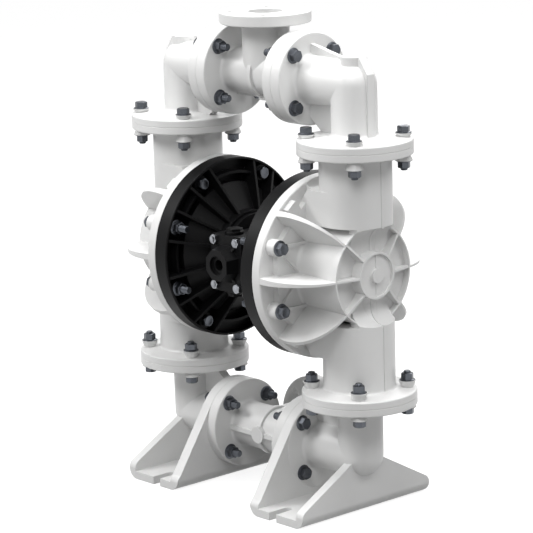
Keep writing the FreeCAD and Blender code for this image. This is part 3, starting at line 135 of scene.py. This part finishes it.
def moulded(name, colours, roughness, strength=0.25):
    """Moulded plastic: a slow change of shade, a fine matt grain and slightly rounded edges."""
    material, nodes, links = new_material(name)
    shader = nodes["Principled BSDF"]
    slow = noise(nodes, links, 7.0, 3.0)
    fine = noise(nodes, links, 900.0, 2.0)
    colour = ramp(nodes, links, slow, ((0.3, colours[0]), (0.7, colours[1])))
    links.new(colour, shader.inputs["Base Color"])
    links.new(spread(nodes, links, slow, roughness - 0.05, roughness + 0.05), shader.inputs["Roughness"])
    shader.inputs["IOR"].default_value = PLASTIC_IOR
    soft_edges(nodes, links, shader, MOULDED_EDGE, fine, strength, MOULDED_GRAIN)
    return material


def metal(name, colours, roughness, scale):
    """Coated or turned metal: fine mottling in colour and gloss."""
    material, nodes, links = new_material(name)
    shader = nodes["Principled BSDF"]
    shader.inputs["Metallic"].default_value = 1.0
    mottle = noise(nodes, links, scale, 5.0, 0.65)
    fine = noise(nodes, links, 2400.0, 2.0)
    colour = ramp(nodes, links, mottle, ((0.35, colours[0]), (0.65, colours[1])))
    links.new(colour, shader.inputs["Base Color"])
    links.new(spread(nodes, links, mottle, roughness - 0.08, roughness + 0.08), shader.inputs["Roughness"])
    soft_edges(nodes, links, shader, METAL_EDGE, fine, 0.2, METAL_GRAIN)
    return material


white = moulded("white_moulded", ((0.69, 0.69, 0.685), (0.73, 0.73, 0.725)), 0.38)
black = moulded("black_moulded", ((0.0035, 0.0035, 0.0038), (0.0060, 0.0060, 0.0064)), 0.40, strength=0.35)
black.node_tree.nodes["Principled BSDF"].inputs["Specular IOR Level"].default_value = 0.10
inner = moulded("inner_moulded", ((0.62, 0.62, 0.60), (0.68, 0.68, 0.65)), 0.45)
bush = moulded("bush_moulded", ((0.26, 0.25, 0.21), (0.32, 0.30, 0.26)), 0.5)
rubber = moulded("black_rubber", ((0.018, 0.018, 0.018), (0.028, 0.028, 0.028)), 0.62, strength=0.5)
ball_rubber = moulded("ball_rubber", ((0.55, 0.54, 0.5), (0.62, 0.61, 0.56)), 0.5)
dark_steel = metal("dark_steel", ((0.075, 0.081, 0.092), (0.115, 0.122, 0.136)), 0.33, 700.0)
light_steel = metal("light_steel", ((0.24, 0.25, 0.27), (0.34, 0.35, 0.37)), 0.30, 700.0)
bright_steel = metal("bright_steel", ((0.55, 0.55, 0.55), (0.68, 0.68, 0.68)), 0.22, 600.0)
cast = metal("cast_aluminium", ((0.42, 0.42, 0.42), (0.55, 0.55, 0.55)), 0.48, 320.0)

SLOT_MATERIALS = {
    "white_plastic": white,
    "black_plastic": black,
    "bush_plastic": bush,
    "inner_plastic": inner,
    "black_rubber": rubber,
    "ball_rubber": ball_rubber,
    "bright_steel": bright_steel,
    "cast_plate": cast,
    "dark_steel": dark_steel,
}


def finish_nodes():
    slots = {part["node"]: part["material_slot"] for part in frame["record"]["subparts"]}
    for name, item in frame["nodes"].items():
        material = SLOT_MATERIALS[slots[name]]
        if not item.material_slots:
            item.data.materials.append(None)
        for place in item.material_slots:
            place.material = material


# Fasteners

SECTIONS = 36
THREAD_PITCH = 0.002
THREAD_DEPTH = 0.0011
BOLT_R = 0.008
BOLT_FLATS = 0.024
BOLT_HEAD = 0.015
BOLT_FLANGE_R = 0.0172
FLANGE_THICK = 0.003
FLANGE_TOP_R = 0.0125
NUT_HEIGHT = 0.016
CAP_HEAD = 0.012
VALVE_SCREW_R = 0.005
VALVE_SCREW_FLATS = 0.019
VALVE_SCREW_HEAD = 0.008
HEX_FOOT = 0.002
HEAD_FACE = 0.94
DISH_RIM = 0.80
DISH_FLOOR = 0.74
DISH_DEPTH = 0.0003
SHANK_CLEARANCE = 0.0002
SHANK_ROOT = 0.001
NUT_FACE = 0.96
NUT_BEVEL_OUT = 0.0014
NUT_BEVEL_DEPTH = 0.0012
NUT_BORE_CLEARANCE = 0.0001
NUT_BORE_LOW = 0.004
SHARP_ANGLE = 32
SPIN_STEP = 23
HEX_TURN = 60

# How far each shank reaches below its head, and how much of it is thread
COLUMN_SHANK, COLUMN_THREAD = 0.0805, 0.023
SIDE_SHANK, SIDE_THREAD = 0.086, 0.034
RIM_SHANK, RIM_THREAD = 0.1176, 0.040
CAP_SHANK, CAP_THREAD = 0.0516, 0.020
VALVE_SHANK, VALVE_THREAD = 0.066, 0.020


class Shape:
    """Vertices and faces of a piece in the making, with Z as its own axis."""

    def __init__(self):
        self.points = []
        self.faces = []

    def ring(self, places):
        """Adds a closed ring of points and returns their numbers."""
        start = len(self.points)
        self.points += places
        return list(range(start, len(self.points)))

    def circle(self, radius, height):
        angles = [2 * math.pi * index / SECTIONS for index in range(SECTIONS)]
        return self.ring([(radius * math.cos(a), radius * math.sin(a), height) for a in angles])

    def bridge(self, low, high):
        count = len(low)
        for index in range(count):
            after = (index + 1) % count
            self.faces.append((low[index], low[after], high[after], high[index]))

    def cap(self, ring, upward=True):
        self.faces.append(tuple(ring if upward else reversed(ring)))

    def lathe(self, profile):
        """Turns (radius, height) pairs, given from the bottom up, into a skin closed at both ends."""
        rings = [self.circle(radius, height) for radius, height in profile]
        self.cap(rings[0], upward=False)
        for low, high in zip(rings, rings[1:]):
            self.bridge(low, high)
        self.cap(rings[-1])

    def hexagon(self, flats, low, high, face_r):
        """A hexagonal prism whose upper corners are turned off by a 30 degree cone."""
        reach = []
        for index in range(SECTIONS):
            angle = 2 * math.pi * index / SECTIONS
            from_flat = angle % (math.pi / 3) - math.pi / 6
            reach.append((angle, flats / 2 / math.cos(from_flat)))
        bottom = self.ring([(r * math.cos(a), r * math.sin(a), low) for a, r in reach])
        side = self.ring([
            (r * math.cos(a), r * math.sin(a), high - max(0.0, r - face_r) * math.tan(math.pi / 6))
            for a, r in reach
        ])
        top = self.circle(face_r, high)
        self.cap(bottom, upward=False)
        self.bridge(bottom, side)
        self.bridge(side, top)
        return top

    def thread(self, radius, low, high):
        """A helical thread from low to high, with a bevelled end."""
        turns = int((high - low) / THREAD_PITCH) + 2
        end_r = radius - THREAD_DEPTH - 0.0005
        profile = ((0.0, THREAD_DEPTH), (0.42, 0.0), (0.58, 0.0), (1.0, THREAD_DEPTH))
        columns = []
        for step in range(turns * SECTIONS + 1):
            angle = 2 * math.pi * step / SECTIONS
            rise = low + THREAD_PITCH * (step / SECTIONS - 1)
            column = []
            for share, depth in profile:
                height = min(max(rise + share * THREAD_PITCH, low), high)
                reach = min(radius - depth, end_r + high - height)
                column.append((reach * math.cos(angle), reach * math.sin(angle), height))
            columns.append(self.ring(column))
        for before, after in zip(columns, columns[1:]):
            for index in range(len(profile) - 1):
                self.faces.append((before[index], after[index], after[index + 1], before[index + 1]))
        self.cap(self.circle(end_r, high))


def flange_profile(radius):
    """The conical foot under a flanged head or nut."""
    return [
        (radius - 0.0004, 0.0),
        (radius, 0.0004),
        (radius, 0.0012),
        (radius - 0.0006, 0.0016),
        (FLANGE_TOP_R, FLANGE_THICK),
    ]


def bolt_shape(radius, flats, head, flange_r, shank, thread):
    """A hex bolt seated at height 0. Its shank reaches down and ends in a length of thread."""
    shape = Shape()
    low = 0.0
    if flange_r:
        shape.lathe(flange_profile(flange_r))
        low = HEX_FOOT
    top = shape.hexagon(flats, low, head, flats / 2 * HEAD_FACE)
    dish = shape.circle(flats / 2 * DISH_RIM, head)
    floor = shape.circle(flats / 2 * DISH_FLOOR, head - DISH_DEPTH)
    shape.bridge(top, dish)
    shape.bridge(dish, floor)
    shape.cap(floor)
    upside_down = Shape()
    plain_r = radius - SHANK_CLEARANCE
    upside_down.lathe([(plain_r, -SHANK_ROOT), (plain_r, shank - thread)])
    upside_down.thread(radius, shank - thread, shank)
    offset = len(shape.points)
    shape.points += [(x, -y, -z) for x, y, z in upside_down.points]
    shape.faces += [tuple(index + offset for index in face) for face in upside_down.faces]
    return shape


def flanged_bolt(shank, thread):
    """The flanged bolt of the columns, manifolds and rims."""
    return bolt_shape(BOLT_R, BOLT_FLATS, BOLT_HEAD, BOLT_FLANGE_R, shank, thread)


def nut_shape(radius, flats, flange_r, height):
    """A flanged hex nut seated at height 0, with a bevelled bore for the bolt that passes through it."""
    shape = Shape()
    shape.lathe(flange_profile(flange_r))
    top = shape.hexagon(flats, HEX_FOOT, height, flats / 2 * NUT_FACE)
    bore_r = radius + NUT_BORE_CLEARANCE
    rings = [
        shape.circle(radius + NUT_BEVEL_OUT, height),
        shape.circle(bore_r, height - NUT_BEVEL_DEPTH),
        shape.circle(bore_r, NUT_BORE_LOW),
    ]
    for low, high in zip([top] + rings, rings):
        shape.bridge(low, high)
    return shape


def shade(item, degrees):
    """Smooth shading up to the given angle between faces."""
    item.data.shade_smooth()
    item.data.set_sharp_from_angle(angle=math.radians(degrees))


def copies(name, shape, places, node, material):
    """One object holding the shape at every place, standing in for a CAD node."""
    mesh = bpy.data.meshes.new(name)
    points, faces = [], []
    for matrix in places:
        offset = len(points)
        flipped = matrix.determinant() < 0
        points += [tuple(matrix @ Vector(point)) for point in shape.points]
        for face in shape.faces:
            numbers = [index + offset for index in face]
            faces.append(tuple(reversed(numbers)) if flipped else tuple(numbers))
    mesh.from_pydata(points, [], faces)
    mesh.validate()
    mesh.materials.append(material)
    item = bpy.data.objects.new(name, mesh)
    scene.collection.objects.link(item)
    shade(item, SHARP_ANGLE)
    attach(item, "housing")
    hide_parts(node)


def seated(place, axis, spin):
    """Puts a piece's own Z axis along the given direction, turned a little about it."""
    turn = Vector(axis).to_track_quat("Z", "Y").to_matrix().to_4x4()
    return Matrix.Translation(place) @ turn @ Matrix.Rotation(math.radians(spin), 4, "Z")


def around(centre, across, up):
    """The four places across and up from a centre, one in each quarter."""
    return [(centre[0] + a * across, centre[1] + b * up) for a in (1, -1) for b in (1, -1)]


def spins(places):
    """Seats each piece with its hexagon turned differently, as tightened by hand."""
    return [seated(place, axis, index * SPIN_STEP % HEX_TURN) for index, (place, axis) in enumerate(places)]


AXIS_Z = 0.5285
COLUMN_X = 0.271
COLUMN_OFFSET = 0.1025 * math.sqrt(0.5)
SIDE_OFFSET = 0.0794 * math.sqrt(0.5)
SEAM_RISE = 0.272
MANIFOLD_RISE = 0.402
ELBOW_SEAT = 0.0265
CAP_SEAT = 0.033
SIDE_HEAD_X = 0.147
SIDE_NUT_X = 0.093
RIM_R = 0.1778
RIM_HEAD_X = 0.2076
RIM_NUT_X = 0.126
RIM_BOLT_ANGLE = 22.5
CAP_SCREW_ANGLE = 60
VALVE_FACE_Y = -0.132
VALVE_ACROSS = 0.036
VALVE_UP = 0.050


def column_places(level, away, seat):
    """Seats beside a column seam, on the side that away points to."""
    places = []
    for side in (1, -1):
        for x, y in around((side * COLUMN_X, 0.0), COLUMN_OFFSET, COLUMN_OFFSET):
            places.append(((x, y, AXIS_Z + level * SEAM_RISE + away * seat), (0, 0, away)))
    return places


def side_places(level, x, facing):
    places = []
    for side in (1, -1):
        for y, z in around((0.0, AXIS_Z + level * MANIFOLD_RISE), SIDE_OFFSET, SIDE_OFFSET):
            places.append(((side * x, y, z), (side * facing, 0, 0)))
    return places


def rim_places(degrees, x, facing):
    angle = math.radians(degrees)
    places = []
    for side in (1, -1):
        for y, z in around((0.0, AXIS_Z), RIM_R * math.cos(angle), RIM_R * math.sin(angle)):
            places.append(((side * x, y, z), (side * facing, 0, 0)))
    return places


def add_fasteners():
    nut = nut_shape(BOLT_R, BOLT_FLATS, BOLT_FLANGE_R, NUT_HEIGHT)
    column_bolt = flanged_bolt(COLUMN_SHANK, COLUMN_THREAD)
    side_bolt = flanged_bolt(SIDE_SHANK, SIDE_THREAD)
    rim_bolt = flanged_bolt(RIM_SHANK, RIM_THREAD)
    cap_screw = bolt_shape(BOLT_R, BOLT_FLATS, CAP_HEAD, None, CAP_SHANK, CAP_THREAD)
    valve_screw = bolt_shape(
        VALVE_SCREW_R, VALVE_SCREW_FLATS, VALVE_SCREW_HEAD, None, VALVE_SHANK, VALVE_THREAD,
    )
    for word, level in (("upper", 1), ("lower", -1)):
        copies("column_bolt_set_" + word, column_bolt,
               spins(column_places(level, level, ELBOW_SEAT)), "column_bolts_" + word, dark_steel)
        copies("column_nut_set_" + word, nut,
               spins(column_places(level, -level, CAP_SEAT)), "column_nuts_" + word, dark_steel)
        copies("side_bolt_set_" + word, side_bolt,
               spins(side_places(level, SIDE_HEAD_X, 1)), "manifold_bolts_" + word, dark_steel)
        copies("side_nut_set_" + word, nut,
               spins(side_places(level, SIDE_NUT_X, -1)), "manifold_nuts_" + word, dark_steel)
    copies("rim_bolt_set", rim_bolt,
           spins(rim_places(RIM_BOLT_ANGLE, RIM_HEAD_X, 1)), "rim_bolts", dark_steel)
    copies("rim_nut_set", nut,
           spins(rim_places(RIM_BOLT_ANGLE, RIM_NUT_X, -1)), "rim_nuts", dark_steel)
    copies("rim_screw_set", cap_screw,
           spins(rim_places(CAP_SCREW_ANGLE, RIM_NUT_X, -1)), "rim_cap_screws", dark_steel)
    corners = around((0.0, AXIS_Z), VALVE_ACROSS, VALVE_UP)
    places = [((x, VALVE_FACE_Y, z), (0, -1, 0)) for x, z in corners]
    copies("valve_screw_set", valve_screw, spins(places), "valve_body_screws", light_steel)


# Surroundings

WORLD_SIDE = 0.20
WORLD_TOP = 0.44
FLOOR_GLOW = 0.88
FLOOR_SHADE = 0.28
FLOOR_REACH = 30.0
FLOOR_DROP = 0.0005


def seen_directly(nodes, links):
    """One for rays from the camera, a glossy surface or glass, and nought for scattered light."""
    path = nodes.new("ShaderNodeLightPath")
    first = nodes.new("ShaderNodeMath")
    first.operation = "MAXIMUM"
    links.new(path.outputs["Is Camera Ray"], first.inputs[0])
    links.new(path.outputs["Is Transmission Ray"], first.inputs[1])
    both = nodes.new("ShaderNodeMath")
    both.operation = "MAXIMUM"
    links.new(first.outputs["Value"], both.inputs[0])
    links.new(path.outputs["Is Glossy Ray"], both.inputs[1])
    return both.outputs["Value"]


def add_floor():
    """A wide pale floor that keeps the shadow. What is seen of it directly is near white."""
    mesh = bpy.data.meshes.new("floor")
    corners = [(x * FLOOR_REACH, y * FLOOR_REACH, 0) for x, y in ((-1, -1), (1, -1), (1, 1), (-1, 1))]
    mesh.from_pydata(corners, [], [(0, 1, 2, 3)])
    floor = bpy.data.objects.new("floor", mesh)
    floor.location.z = -FLOOR_DROP
    scene.collection.objects.link(floor)
    material, nodes, links = new_material("floor_white")
    shader = nodes["Principled BSDF"]
    shader.inputs["Base Color"].default_value = (FLOOR_SHADE, FLOOR_SHADE, FLOOR_SHADE, 1)
    shader.inputs["Roughness"].default_value = 0.9
    shader.inputs["Specular IOR Level"].default_value = 0.0
    shader.inputs["Emission Color"].default_value = (1, 1, 1, 1)
    strength = nodes.new("ShaderNodeMath")
    strength.operation = "MULTIPLY"
    strength.inputs[1].default_value = FLOOR_GLOW
    links.new(seen_directly(nodes, links), strength.inputs[0])
    links.new(strength.outputs["Value"], shader.inputs["Emission Strength"])
    mesh.materials.append(material)


def add_world():
    """An even studio: full white where it is seen, and dimmer as a light, most of all from the sides."""
    world = bpy.data.worlds.new("studio")
    scene.world = world
    world.use_nodes = True
    nodes, links = world.node_tree.nodes, world.node_tree.links
    background = nodes["Background"]
    where = nodes.new("ShaderNodeTexCoord")
    parts = nodes.new("ShaderNodeSeparateXYZ")
    links.new(where.outputs["Generated"], parts.inputs["Vector"])
    height = nodes.new("ShaderNodeMapRange")
    height.inputs["To Min"].default_value = WORLD_SIDE
    height.inputs["To Max"].default_value = WORLD_TOP
    links.new(parts.outputs["Z"], height.inputs["Value"])
    strength = nodes.new("ShaderNodeMix")
    links.new(seen_directly(nodes, links), strength.inputs["Factor"])
    links.new(height.outputs["Result"], strength.inputs["A"])
    strength.inputs["B"].default_value = 1.0
    background.inputs["Color"].default_value = (1, 1, 1, 1)
    links.new(strength.outputs["Result"], background.inputs["Strength"])


def add_area(name, place, target, size, power):
    data = bpy.data.lights.new(name, "AREA")
    data.shape = "DISK"
    data.size = size
    data.energy = power
    lamp = bpy.data.objects.new(name, data)
    lamp.location = place
    lamp.rotation_euler = (Vector(target) - Vector(place)).to_track_quat("-Z", "Y").to_euler()
    scene.collection.objects.link(lamp)


# Each lamp's place, the point that it faces, its size across in metres and its power in watts
LAMPS = {
    "top": ((0.3, -0.4, 4.6), (0, 0, 0.5), 2.2, 112),
    "right": ((2.5, 1.2, 3.5), (0, 0, 0.6), 2.0, 56),
    "front": ((1.8, -2.3, 3.3), (0, 0, 0.7), 1.8, 44),
    "left": ((-2.4, -2.8, 3.5), (0, 0, 0.5), 2.0, 118),
    "back": ((-1.8, 3.0, 3.6), (0, 0, 0.5), 2.0, 90),
}


def add_lights():
    for name, (place, target, size, power) in LAMPS.items():
        add_area(name, place, target, size, power)


scene.view_settings.view_transform = "Standard"
add_camera()
finish_nodes()
add_fasteners()
add_floor()
add_world()
add_lights()
